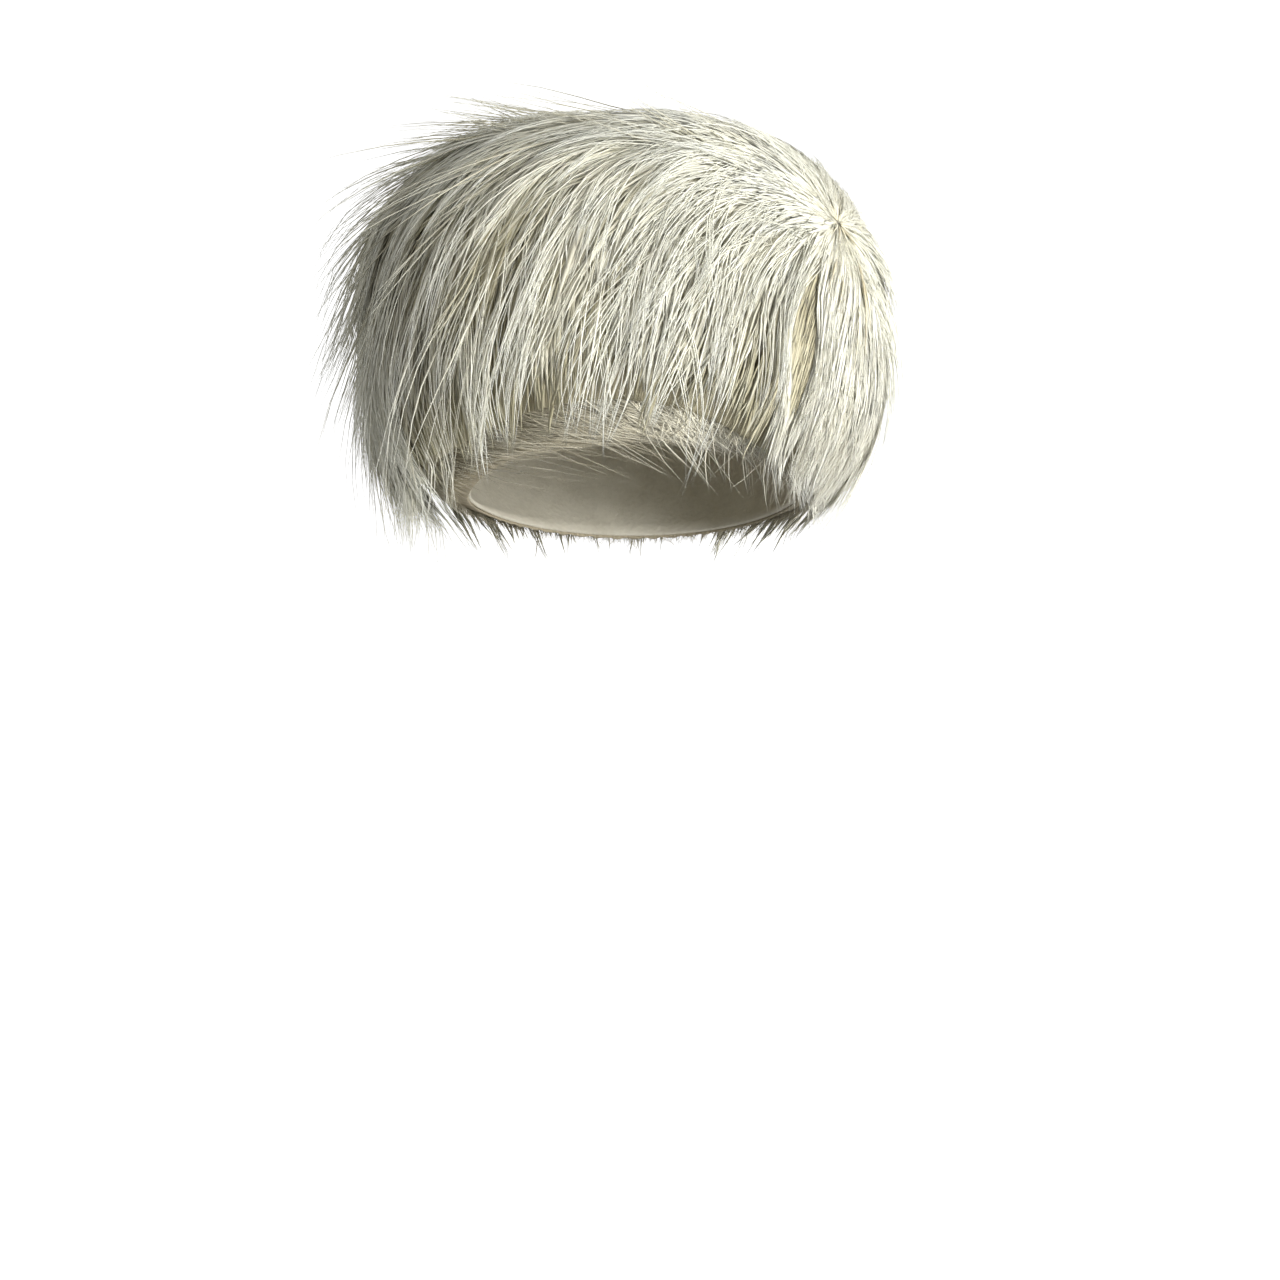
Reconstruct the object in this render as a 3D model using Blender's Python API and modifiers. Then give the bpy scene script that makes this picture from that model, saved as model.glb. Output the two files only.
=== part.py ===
"""A feather hat: a hollow felt base with long ivory feathers that fan out from one whorl of quills.

The crown is a bubble. Every surface is a radius about the bubble's centre, given by an azimuth round the
vertical (0 is the viewer's right, 90 the back, 180 the viewer's left, 270 the front) and an elevation.
Metres, +Z up. The origin is the centre of the head opening, and the hat's front faces -Y.
"""

import math

import bmesh
import bpy
import numpy as np

# The bubble
CENTRE_HEIGHT = 0.064
BASE_TOP = 0.104
BASE_FULLNESS = 2.5
BASE_WALL = 0.002
COAT_TOP = 0.1185
COAT_FULLNESS = 2.7
UNDER_FULLNESS = 2.2

# The head opening: an oval whose edge arches up at the forehead and dips at the nape
HEAD_HALF_WIDTH = 0.081
HEAD_HALF_DEPTH = 0.097
FOREHEAD_RISE = 0.016
NAPE_DROP = 0.006

# Half widths at the height of the bubble's centre, one row for each azimuth.
# base: felt base. coat: feathers. coat_under: how far below the centre the coat's form would close.
# hem: elevation in degrees where the long feathers end.
SECTION_COLUMNS = ("azimuth", "base", "coat", "coat_under", "hem")
SECTIONS = (
    (0, 0.1165, 0.1295, 0.101, -37.0),
    (45, 0.1175, 0.1330, 0.105, -34.0),
    (90, 0.1190, 0.1350, 0.106, -32.0),
    (135, 0.1200, 0.1380, 0.104, -31.0),
    (180, 0.1210, 0.1390, 0.098, -30.0),
    (225, 0.1195, 0.1370, 0.098, -25.0),
    (270, 0.1170, 0.1320, 0.100, -18.0),
    (315, 0.1160, 0.1315, 0.100, -31.0),
)

# The whorl where the quills meet, and how the feathers leave it. A heading of 0 runs straight down, -90
# towards the viewer's left and 180 straight up over the crown. turn is the azimuth of a feather's end,
# counted from the whorl's own. above and lean place the feather's last bend: how many degrees it lies above
# the hem, and how many degrees of azimuth further round.
WHORL_AZIMUTH = -38.0
WHORL_ELEVATION = 24.0
HEADING_COLUMNS = ("turn", "heading", "above", "lean")
HEADINGS = (
    (-180, -180, 48, 2),
    (-125, -132, 48, 4),
    (-97, -118, 50, 6),
    (-74, -106, 50, 8),
    (-50, -92, 42, 11),
    (-28, -66, 32, 11),
    (-14, -30, 30, 4),
    (0, 0, 30, 0),
    (30, 35, 32, -3),
    (65, 76, 38, -5),
    (110, 112, 44, -5),
    (150, 148, 48, 0),
    (180, 180, 48, 2),
)
LEAVE_SHARE = 0.42

# Locks of feathers, each from its first azimuth to the next row's. rise: how far its middle stands proud
# of its edges. hang: how far its tip hangs past the hem, in degrees. valley: how deep the fold at its first
# edge is. The deepest is the parting between the front sweep and the right side.
LOCK_COLUMNS = ("name", "first", "rise", "hang", "valley")
LOCKS = (
    ("right_front_lock", -52, 0.0045, 2.0, 0.0065),
    ("right_lock", -27, 0.0040, 2.5, 0.0015),
    ("right_back_lock", -3, 0.0035, 2.0, 0.0010),
    ("back_right_lock", 22, 0.0035, 3.0, 0.0010),
    ("back_lock", 47, 0.0035, 3.0, 0.0010),
    ("back_left_lock", 72, 0.0035, 3.0, 0.0010),
    ("crown_back_lock", 98, 0.0035, 3.0, 0.0010),
    ("crown_left_lock", 125, 0.0035, 4.0, 0.0010),
    ("left_back_lock", 151, 0.0040, 6.0, 0.0015),
    ("left_lock", 176, 0.0040, 6.0, 0.0020),
    ("left_front_lock", 199, 0.0040, 5.0, 0.0020),
    ("front_left_lock", 221, 0.0035, 3.0, 0.0020),
    ("front_sweep_left", 242, 0.0035, 2.0, 0.0015),
    ("front_sweep_right", 262, 0.0030, 2.0, 0.0010),
    ("front_parting_lock", 284, 0.0030, 2.5, 0.0010),
)
VALLEY_SHARPNESS = 3
SWELL_ROUNDNESS = 0.8
SCALLOP_ROUNDNESS = 1.5
LOCK_STEPS_ACROSS = 4
LOCK_STEP_LENGTH = 0.0145
LOCK_STEP_POWER = 0.9
LOCK_GAP = 0.0004

# Each lock starts this far from the whorl, thin, and reaches its full height over the next stretch
LOCK_START = 0.0145
LEAST_COAT = 0.0045
THICKEN_OVER = 0.022

# Its hem is rounded over the last share of its length, down to this share of its thickness
LEAST_THICKNESS = 0.0027
HEM_ROUNDING = 0.16
HEM_THICKNESS = 0.30

# Short feathers turned under the edge, in four runs. They start at UNDER_TOP degrees beneath the long
# ones, which rise over them across UNDER_RAMP degrees, and end UNDER_EDGE below the felt's edge.
UNDER_COLUMNS = ("name", "first")
UNDER_RUNS = (
    ("under_feathers_right", -45),
    ("under_feathers_back", 45),
    ("under_feathers_left", 135),
    ("under_feathers_front", 225),
)
UNDER_THICKNESS = 0.007
UNDER_THIN = 0.0015
UNDER_TOP = -8.0
UNDER_CLEAR = 4.0
UNDER_RAMP = 12.0
UNDER_EDGE = 0.003
UNDER_END_TAPER = 0.35
UNDER_END_SHARPNESS = 6
UNDER_STEPS_ALONG = 12
UNDER_STEPS_DOWN = 6

# Knot of quills at the whorl
KNOT_RADIUS = 0.0125
KNOT_HALF_HEIGHT = 0.0035
KNOT_SINK = 0.0004

# Room between a faceted form and its neighbour's, whose flats lie a little inside the true curve
SEAT_GAP = 0.0012

# The felt base: a crown, then panels in two rings. steps: how many of the steps from the crown's middle to
# the head edge each covers. FELT_QUARTERS: each panel's first azimuth.
FELT_STEPS_ROUND = 40
FELT_COLUMNS = ("name", "steps")
FELT_CROWN = ("felt_crown", 6)
FELT_RINGS = (
    ("felt_side", 5),
    ("felt_edge", 3),
)
FELT_QUARTERS = (
    ("right", -45),
    ("back", 45),
    ("left", 135),
    ("front", 225),
)
FELT_GAP = 0.0008

COLOURS = {
    "feather": (0.86, 0.84, 0.76, 1.0, 0.55),
    "under_feather": (0.74, 0.70, 0.58, 1.0, 0.7),
    "felt": (0.80, 0.76, 0.66, 1.0, 0.9),
    "quill": (0.88, 0.84, 0.70, 1.0, 0.4),
}


def column(rows, names, name):
    return np.array([row[names.index(name)] for row in rows], float)


def section(name, azimuth):
    """A column of SECTIONS as a smooth periodic curve: a sum of whole waves through its even rows."""
    values = column(SECTIONS, SECTION_COLUMNS, name)
    waves = np.fft.rfft(values) / len(values)
    angle = np.radians(np.asarray(azimuth, float))
    total = np.full(angle.shape, waves[0].real)
    for k in range(1, len(waves)):
        share = 1 if 2 * k == len(values) else 2
        total = total + share * (waves[k].real * np.cos(k * angle) - waves[k].imag * np.sin(k * angle))
    return total


def direction(azimuth, elevation):
    a, e = np.radians(azimuth), np.radians(elevation)
    return np.stack([np.cos(a) * np.cos(e), np.sin(a) * np.cos(e), np.sin(e) * np.ones_like(a)], axis=-1)


def angles_of(way):
    azimuth = np.degrees(np.arctan2(way[..., 1], way[..., 0]))
    return azimuth, np.degrees(np.arcsin(np.clip(way[..., 2], -1, 1)))


def bubble_radius(elevation, half_width, top, bottom, fullness):
    """Distance from the centre to a form that is half_width wide, top high and bottom deep."""
    e = np.radians(elevation)
    power = np.where(e > 0, fullness, UNDER_FULLNESS)
    height = np.where(e > 0, top, bottom)
    across = np.maximum(np.cos(e), 1e-9) / half_width
    return (across**power + (np.abs(np.sin(e)) / height) ** power) ** (-1 / power)


def head_edge(azimuth):
    """Radius and height of the head opening's edge."""
    a = np.radians(azimuth)
    radius = 1 / np.hypot(np.cos(a) / HEAD_HALF_WIDTH, np.sin(a) / HEAD_HALF_DEPTH)
    toward_front = -np.sin(a)
    rise = np.where(toward_front > 0, FOREHEAD_RISE, NAPE_DROP) * toward_front * np.abs(toward_front)
    return radius, rise


def edge_elevation(azimuth):
    radius, height = head_edge(azimuth)
    return np.degrees(np.arctan2(height - CENTRE_HEIGHT, radius))


def base_radius(azimuth, elevation):
    """The felt base's outer face. Its lower half is as deep as makes it pass through the head edge."""
    half_width = section("base", azimuth)
    radius, height = head_edge(azimuth)
    depth = (CENTRE_HEIGHT - height) / (1 - (radius / half_width) ** UNDER_FULLNESS) ** (1 / UNDER_FULLNESS)
    return bubble_radius(elevation, half_width, BASE_TOP, depth, BASE_FULLNESS)


def coat_radius(azimuth, elevation):
    """The outer face of the long feathers, before each lock's own swell."""
    return bubble_radius(
        elevation, section("coat", azimuth), COAT_TOP, section("coat_under", azimuth), COAT_FULLNESS
    )


def smooth(x):
    x = np.clip(x, 0, 1)
    return x * x * (3 - 2 * x)


def under_thickness(azimuth, elevation):
    """The turned-under feathers: thin at their top, full over the edge of the base."""
    low = edge_elevation(azimuth)
    share = smooth((UNDER_TOP - elevation) / (UNDER_TOP - low))
    return UNDER_THIN + (UNDER_THICKNESS - UNDER_THIN) * share


def at(azimuth, elevation, radius):
    return np.asarray(radius)[..., None] * direction(azimuth, elevation) + np.array([0, 0, CENTRE_HEIGHT])


def feather_lines(azimuths, samples=400):
    """Lines from the whorl to the hem, one for each azimuth, as unit directions about the centre.

    Each is a curve of third degree: it leaves the whorl on its heading, and comes down to its place on
    the hem from a point nearly above it."""
    whorl = direction(WHORL_AZIMUTH, WHORL_ELEVATION)
    down = direction(WHORL_AZIMUTH, WHORL_ELEVATION - 90)
    sideways = np.cross(whorl, down)
    turn = (np.asarray(azimuths, float) - WHORL_AZIMUTH + 180) % 360 - 180
    turns = column(HEADINGS, HEADING_COLUMNS, "turn")
    heading, above, lean = (
        np.interp(turn, turns, column(HEADINGS, HEADING_COLUMNS, name))
        for name in ("heading", "above", "lean")
    )
    heading = np.radians(heading)[:, None]
    hem = section("hem", azimuths) - lock_hang(azimuths)
    end = direction(azimuths, hem)
    reach = LEAVE_SHARE * np.arccos(np.clip(end @ whorl, -1, 1))[:, None]
    leaving = np.cos(heading) * down + np.sin(heading) * sideways
    near = np.cos(reach) * whorl + np.sin(reach) * leaving
    over = direction(azimuths + lean, hem + above)
    s = np.linspace(0, 1, samples)[:, None]
    line = (
        (1 - s) ** 3 * whorl
        + 3 * s * (1 - s) ** 2 * near[:, None]
        + 3 * s**2 * (1 - s) * over[:, None]
        + s**3 * end[:, None]
    )
    return line / np.linalg.norm(line, axis=-1, keepdims=True)


def lock_edges():
    first = [row[LOCK_COLUMNS.index("first")] for row in LOCKS]
    return [*first, first[0] + 360]


def lock_hang(azimuths):
    """How far the hem hangs lower at each azimuth, in degrees: a scallop for each lock."""
    edges = lock_edges()
    wrapped = (np.asarray(azimuths, float) - edges[0]) % 360 + edges[0]
    place = np.clip(np.searchsorted(edges, wrapped, side="right") - 1, 0, len(LOCKS) - 1)
    start = np.array(edges)[place]
    width = np.array(edges)[place + 1] - start
    hang = column(LOCKS, LOCK_COLUMNS, "hang")[place]
    return hang * np.sin(np.pi * (wrapped - start) / width) ** SCALLOP_ROUNDNESS


def along(line, shares):
    """Directions at these shares of a line's length on the felt base, and that length."""
    azimuth, elevation = angles_of(line)
    points = at(azimuth, elevation, base_radius(azimuth, elevation))
    steps = np.linalg.norm(np.diff(points, axis=0), axis=1)
    run = np.concatenate([[0], np.cumsum(steps)])
    ways = np.stack([np.interp(shares * run[-1], run, line[:, k]) for k in range(3)], axis=1)
    return ways / np.linalg.norm(ways, axis=1, keepdims=True), run[-1]


def part_from_neighbours(grid):
    """Draws a grid's first and last rows in by half the gap to the neighbouring piece."""
    for edge, other in ((0, 1), (-1, -2)):
        way = grid[other] - grid[edge]
        way /= np.linalg.norm(way, axis=1, keepdims=True)
        grid[edge] += way * LOCK_GAP / 2
    return grid


def lock_faces(first, last, rise, valleys):
    """Outer and inner grids of one lock, as arrays of points: across, then along."""
    azimuths = np.linspace(first, last, LOCK_STEPS_ACROSS + 1)
    lines = feather_lines(azimuths)
    lengths = [along(line, np.array([0.0, 1.0]))[1] for line in lines]
    steps = round(max(lengths) / LOCK_STEP_LENGTH)
    outer, inner = [], []
    for k, (line, length) in enumerate(zip(lines, lengths)):
        start = LOCK_START / length
        shares = start + (1 - start) * np.linspace(0, 1, steps + 1) ** LOCK_STEP_POWER
        ways = along(line, shares)[0]
        azimuth, elevation = angles_of(ways)
        low = base_radius(azimuth, elevation) + SEAT_GAP
        over_under = smooth((UNDER_TOP + UNDER_CLEAR + UNDER_RAMP - elevation) / UNDER_RAMP)
        low = low + over_under * (under_thickness(azimuth, elevation) + SEAT_GAP)
        across = k / LOCK_STEPS_ACROSS
        swell = rise * math.sin(math.pi * across) ** SWELL_ROUNDNESS
        swell -= valleys[0] * (1 - across) ** VALLEY_SHARPNESS + valleys[1] * across**VALLEY_SHARPNESS
        full = coat_radius(azimuth, elevation) + swell
        thin_start = smooth((shares * length - LOCK_START) / THICKEN_OVER)
        thickness = LEAST_COAT + (full - low - LEAST_COAT) * thin_start
        into_hem = np.clip((shares - (1 - HEM_ROUNDING)) / HEM_ROUNDING, 0, 1)
        thickness = thickness * (HEM_THICKNESS + (1 - HEM_THICKNESS) * np.sqrt(1 - into_hem**2))
        high = low + np.maximum(thickness, LEAST_THICKNESS)
        outer.append(at(azimuth, elevation, high))
        inner.append(at(azimuth, elevation, low))
    return [part_from_neighbours(np.array(grid)) for grid in (outer, inner)]


def material(name):
    red, green, blue, alpha, roughness = COLOURS[name]
    made = bpy.data.materials.new(name)
    made.use_nodes = True
    shader = made.node_tree.nodes["Principled BSDF"]
    shader.inputs["Base Color"].default_value = (red, green, blue, alpha)
    shader.inputs["Roughness"].default_value = roughness
    shader.inputs["Metallic"].default_value = 0.0
    return made


def add_object(name, mesh, collection, finish):
    mesh.materials.append(finish)
    mesh.shade_smooth()
    mesh.set_sharp_from_angle(angle=math.radians(40))
    made = bpy.data.objects.new(name, mesh)
    collection.objects.link(made)
    return made


def closed_patch(name, outer, inner):
    """A loft between two grids of points, closed round its four sides, with its faces pointing out."""
    rows, columns = outer.shape[:2]
    mesh_points = bmesh.new()
    skins = []
    for grid in (outer, inner):
        skins.append([[mesh_points.verts.new(point) for point in row] for row in grid])
    top, bottom = skins
    for i in range(rows - 1):
        for j in range(columns - 1):
            mesh_points.faces.new((top[i][j], top[i][j + 1], top[i + 1][j + 1], top[i + 1][j]))
            mesh_points.faces.new((bottom[i][j], bottom[i + 1][j], bottom[i + 1][j + 1], bottom[i][j + 1]))
    border = [(i, 0) for i in range(rows)]
    border += [(rows - 1, j) for j in range(1, columns)]
    border += [(i, columns - 1) for i in range(rows - 2, -1, -1)]
    border += [(0, j) for j in range(columns - 2, 0, -1)]
    for (i, j), (k, m) in zip(border, border[1:] + border[:1]):
        mesh_points.faces.new((top[i][j], top[k][m], bottom[k][m], bottom[i][j]))
    mesh = bpy.data.meshes.new(name)
    mesh_points.to_mesh(mesh)
    mesh_points.free()
    return mesh


def felt_elevations(azimuths, step):
    """Elevations of a ring of the felt base, this many steps down from the crown's middle."""
    steps = FELT_COLUMNS.index("steps")
    all_steps = FELT_CROWN[steps] + sum(row[steps] for row in FELT_RINGS)
    return 90 - (90 - edge_elevation(azimuths)) * step / all_steps


def felt_crown(collection, finish):
    """The crown of the felt base: a cap of the bubble, given its wall by Solidify."""
    name, steps = FELT_CROWN
    azimuths = np.arange(FELT_STEPS_ROUND) * 360 / FELT_STEPS_ROUND
    shell = bmesh.new()
    middle = shell.verts.new((0, 0, CENTRE_HEIGHT + BASE_TOP))
    upper = None
    for step in range(1, steps + 1):
        elevation = felt_elevations(azimuths, step)
        ring = [shell.verts.new(point) for point in at(azimuths, elevation, base_radius(azimuths, elevation))]
        for k in range(FELT_STEPS_ROUND):
            after = (k + 1) % FELT_STEPS_ROUND
            if upper is None:
                shell.faces.new((middle, ring[k], ring[after]))
            else:
                shell.faces.new((upper[k], ring[k], ring[after], upper[after]))
        upper = ring
    mesh = bpy.data.meshes.new(name)
    shell.to_mesh(mesh)
    shell.free()
    made = add_object(name, mesh, collection, finish)
    wall = made.modifiers.new("wall", "SOLIDIFY")
    wall.thickness = BASE_WALL
    wall.offset = -1
    return made


def felt_panel(name, first, first_step, steps, collection, finish):
    """A quarter of a ring of the felt base, from its first azimuth on."""
    azimuths = first + np.arange(FELT_STEPS_ROUND // 4 + 1) * 360 / FELT_STEPS_ROUND
    outer, inner = [], []
    for step in range(first_step, first_step + steps + 1):
        elevation = felt_elevations(azimuths, step)
        if step == first_step:
            elevation = elevation - np.degrees(FELT_GAP / BASE_TOP)
        radius = base_radius(azimuths, elevation)
        outer.append(at(azimuths, elevation, radius))
        inner.append(at(azimuths, elevation, radius - BASE_WALL))
    grids = [part_from_neighbours(np.swapaxes(np.array(grid), 0, 1)) for grid in (outer, inner)]
    return add_object(name, closed_patch(name, *grids), collection, finish)


def lock(row, last, next_valley, collection, finish):
    name, first, rise, _, valley = row
    outer, inner = lock_faces(first, last, rise, (valley, next_valley))
    return add_object(name, closed_patch(name, outer, inner), collection, finish)


def under_run(row, last, collection, finish):
    """A run of short feathers from beneath the long ones down round the edge of the base."""
    name, first = row
    azimuths = np.linspace(first, last, UNDER_STEPS_ALONG + 1)
    outer, inner = [], []
    for share in np.linspace(0, 1, UNDER_STEPS_DOWN + 1):
        low = edge_elevation(azimuths) - np.degrees(UNDER_EDGE / HEAD_HALF_DEPTH)
        elevation = UNDER_TOP + (low - UNDER_TOP) * share
        seat = base_radius(azimuths, elevation) + SEAT_GAP
        thickness = under_thickness(azimuths, elevation) * (1 - UNDER_END_TAPER * share**UNDER_END_SHARPNESS)
        outer.append(at(azimuths, elevation, seat + thickness))
        inner.append(at(azimuths, elevation, seat))
    grids = [part_from_neighbours(np.swapaxes(np.array(grid), 0, 1)) for grid in (outer, inner)]
    return add_object(name, closed_patch(name, *grids), collection, finish)


def whorl_knot(collection, finish):
    """The gathered quill ends: a flattened ball on the base's nearest flat, turned to face outwards."""
    facing = direction(WHORL_AZIMUTH, WHORL_ELEVATION)
    seat = base_radius(np.array(WHORL_AZIMUTH), np.array(WHORL_ELEVATION)) - KNOT_SINK
    ball = bmesh.new()
    bmesh.ops.create_uvsphere(ball, u_segments=16, v_segments=8, radius=1)
    bmesh.ops.scale(ball, vec=(KNOT_RADIUS, KNOT_RADIUS, KNOT_HALF_HEIGHT), verts=ball.verts)
    mesh = bpy.data.meshes.new("whorl_knot")
    ball.to_mesh(mesh)
    ball.free()
    made = add_object("whorl_knot", mesh, collection, finish)
    made.location = facing * (seat + KNOT_HALF_HEIGHT) + np.array([0, 0, CENTRE_HEIGHT])
    made.rotation_euler = (0, math.radians(90 - WHORL_ELEVATION), math.radians(WHORL_AZIMUTH))
    return made


def main():
    for old in list(bpy.data.objects):
        bpy.data.objects.remove(old, do_unlink=True)
    hat = bpy.data.collections.new("feather_hat")
    bpy.context.scene.collection.children.link(hat)
    finishes = {name: material(name) for name in COLOURS}
    felt_crown(hat, finishes["felt"])
    first_step = FELT_CROWN[FELT_COLUMNS.index("steps")]
    for ring, steps in FELT_RINGS:
        for side, first in FELT_QUARTERS:
            felt_panel(f"{ring}_{side}", first, first_step, steps, hat, finishes["felt"])
        first_step += steps
    whorl_knot(hat, finishes["quill"])
    next_valleys = np.roll(column(LOCKS, LOCK_COLUMNS, "valley"), -1)
    for row, last, next_valley in zip(LOCKS, lock_edges()[1:], next_valleys):
        lock(row, last, next_valley, hat, finishes["feather"])
    starts = [row[UNDER_COLUMNS.index("first")] for row in UNDER_RUNS]
    for row, last in zip(UNDER_RUNS, [*starts[1:], starts[0] + 360]):
        under_run(row, last, hat, finishes["under_feather"])


main()
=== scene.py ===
import math

import bpy
import numpy as np
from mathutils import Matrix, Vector


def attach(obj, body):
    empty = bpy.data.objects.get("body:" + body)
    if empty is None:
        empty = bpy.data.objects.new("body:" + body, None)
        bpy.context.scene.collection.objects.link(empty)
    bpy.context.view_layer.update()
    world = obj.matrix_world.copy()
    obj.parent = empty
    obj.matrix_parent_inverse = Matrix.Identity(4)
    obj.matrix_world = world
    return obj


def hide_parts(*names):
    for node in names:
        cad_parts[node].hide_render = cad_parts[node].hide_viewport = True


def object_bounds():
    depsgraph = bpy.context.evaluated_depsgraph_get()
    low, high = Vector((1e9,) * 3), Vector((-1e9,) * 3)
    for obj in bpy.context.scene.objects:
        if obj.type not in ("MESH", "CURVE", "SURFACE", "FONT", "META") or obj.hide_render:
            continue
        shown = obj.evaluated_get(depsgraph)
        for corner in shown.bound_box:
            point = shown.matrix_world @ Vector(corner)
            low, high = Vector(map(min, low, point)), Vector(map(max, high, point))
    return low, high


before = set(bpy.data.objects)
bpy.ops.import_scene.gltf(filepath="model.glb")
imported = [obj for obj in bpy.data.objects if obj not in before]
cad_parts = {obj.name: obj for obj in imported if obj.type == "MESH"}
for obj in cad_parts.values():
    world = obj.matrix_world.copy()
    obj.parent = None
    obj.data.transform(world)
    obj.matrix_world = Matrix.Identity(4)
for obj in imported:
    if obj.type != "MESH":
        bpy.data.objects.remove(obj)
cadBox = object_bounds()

# The crown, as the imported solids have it. A row: azimuth (0 the viewer's right, 90 the back), half widths of
# the felt and of the feathers, how deep the feathers' form goes, and the elevation where the long ones end.
crown = {
    "centre": 0.064,
    "feltTop": 0.104,
    "feltFullness": 2.5,
    "coatTop": 0.1185,
    "coatFullness": 2.7,
    "underFullness": 2.2,
    "rows": (
        (0, 0.1165, 0.1295, 0.101, -37.0),
        (45, 0.1175, 0.1330, 0.105, -34.0),
        (90, 0.1190, 0.1350, 0.106, -32.0),
        (135, 0.1200, 0.1380, 0.104, -31.0),
        (180, 0.1210, 0.1390, 0.098, -30.0),
        (225, 0.1195, 0.1370, 0.098, -25.0),
        (270, 0.1170, 0.1320, 0.100, -18.0),
        (315, 0.1160, 0.1315, 0.100, -31.0),
    ),
    # where the feathers stand fuller or lie closer: azimuth, elevation, how far, and how wide in degrees
    "swells": (
        (180, 62, -0.0010, 14), (182, 24, 0.0010, 18), (184, 0, -0.0085, 18), (188, -20, -0.0055, 18),
        (355, 0, -0.0035, 40), (350, -38, -0.0055, 22), (20, 62, 0.0025, 22), (270, 84, -0.0040, 20),
    ),
}

crownMiddle = np.array([0, 0, crown["centre"]])

# The oval of the head opening, higher at the forehead and lower at the nape
headOpening = {"halfWidth": 0.081, "halfDepth": 0.097, "foreheadRise": 0.016, "napeDrop": 0.006}

# Every line of feathers leaves from the whorl. Its turn is the hem azimuth of its end, less the whorl's own.
# A row: turn, heading at the whorl (0 down, -90 the viewer's left), how many degrees above the hem its last
# bend lies, and how much further round.
whorl = {
    "azimuth": -35.5,
    "elevation": 25.5,
    "leave": 0.42,  # how strongly a line keeps to its heading, as a share of its whole angle
    "lines": (
        (-180, -180, 50, 2), (-127, -140, 66, 4), (-100, -127, 76, 6), (-77, -114, 70, 8), (-53, -96, 50, 11),
        (-31, -66, 34, 11), (-17, -28, 30, 1), (-2, 0, 30, -12), (28, 35, 32, -16), (65, 76, 38, -10),
        (110, 112, 44, -5), (150, 148, 48, 0), (180, 180, 50, 2),
    ),
    "dimple": 0.003,
    "dimpleReach": 0.020,
}

# Folds of the coat. A row: azimuth at the hem, depth, and width in degrees. They start at the share "from" of
# a line and are whole after "ramp" more.
folds = {
    "rows": (
        (-27, 0.0015, 4.0), (-3, 0.0012, 5.0), (22, 0.0012, 6.0), (47, 0.0012, 6.0),
        (72, 0.0012, 6.0), (98, 0.0012, 6.0), (125, 0.0012, 6.0), (151, 0.0015, 6.0), (176, 0.0020, 6.0),
        (199, 0.0025, 5.0), (221, 0.0025, 5.0), (242, 0.0020, 5.0), (262, 0.0015, 5.0), (284, 0.0012, 5.0),
    ),
    "swell": 0.0020,  # how far the coat stands out between the folds
    "from": 0.12,
    "ramp": 0.30,
}

# The parting between the front sweep and the right panel, wide in degrees of turn, long in shares of a line
parting = {
    "turn": -30.5, "drift": 13.0,  # its turn at the whorl, and how far that has moved at the hem
    "depth": 0.0020, "wide": 5.0,  # its groove
    "from": 0.15, "ramp": 0.25, "until": 1.08, "rampEnd": 0.2,  # where the groove starts and ends
    "open": 8.0, "fade": 12.0,  # how far the strands beside it part, and how soon that fades away from it
    "middle": 0.58, "long": 0.22,  # where along it they part
    "crowd": 0.0004,  # half width that a bundle may have, for each degree of its distance from the parting
    "fill": 0.0035, "fillWide": 7.0,  # how much higher the down lies in it
}

# Where painted shade darkens the lower strands most, above the hem at the front left
shade = {"turn": -92.0, "wide": 17.0, "from": 0.62, "ramp": 0.3}


def partingTurn(share):
    # the parting's turn, which drifts evenly from the whorl to the hem
    return parting["turn"] + parting["drift"] * share


def openParting(turn, share):
    # Lines near the parting bow away from it: the distance d becomes the root of d squared plus w squared.
    # w is a bell curve along the parting, and its square fades by an exponential of d. Strands keep to their
    # sides.
    d = turn - partingTurn(share)
    w = parting["open"] * bell(share - parting["middle"], parting["long"])
    side = np.where(np.mean(d, axis=-1, keepdims=True) < 0, -1, 1)
    return partingTurn(share) + side * np.sqrt(d**2 + w**2 * np.exp(-np.abs(d) / parting["fade"]))


def smooth(x):
    # 0 below 0 and 1 above 1, with an S curve of third degree between
    x = np.clip(x, 0, 1)
    return x * x * (3 - 2 * x)


def bell(x, wide):
    # a bell curve: the exponential of minus the square of x over its width
    return np.exp(-((x / wide) ** 2))


def unit(v):
    # vectors divided by their lengths
    return v / np.linalg.norm(v, axis=-1, keepdims=True)


def between(span, x):
    # the value at the share x of a span
    return span[0] + (span[1] - span[0]) * x


def rowCurve(which, azimuth):
    # a column of crown's rows as a smooth periodic curve: a sum of whole waves through its even rows
    values = np.array([row[which] for row in crown["rows"]], float)
    waves = np.fft.rfft(values) / len(values)
    angle = np.radians(np.asarray(azimuth, float))
    total = np.full(angle.shape, waves[0].real)
    for k in range(1, len(waves)):
        share = 1 if 2 * k == len(values) else 2
        total = total + share * (waves[k].real * np.cos(k * angle) - waves[k].imag * np.sin(k * angle))
    return total


def direction(azimuth, elevation):
    # unit vectors from two angles in degrees
    a, e = np.radians(azimuth), np.radians(elevation)
    return np.stack([np.cos(a) * np.cos(e), np.sin(a) * np.cos(e), np.sin(e) * np.ones_like(a)], axis=-1)


def anglesOf(way):
    # azimuth and elevation in degrees of unit vectors
    azimuth = np.degrees(np.arctan2(way[..., 1], way[..., 0]))
    return azimuth, np.degrees(np.arcsin(np.clip(way[..., 2], -1, 1)))


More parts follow.
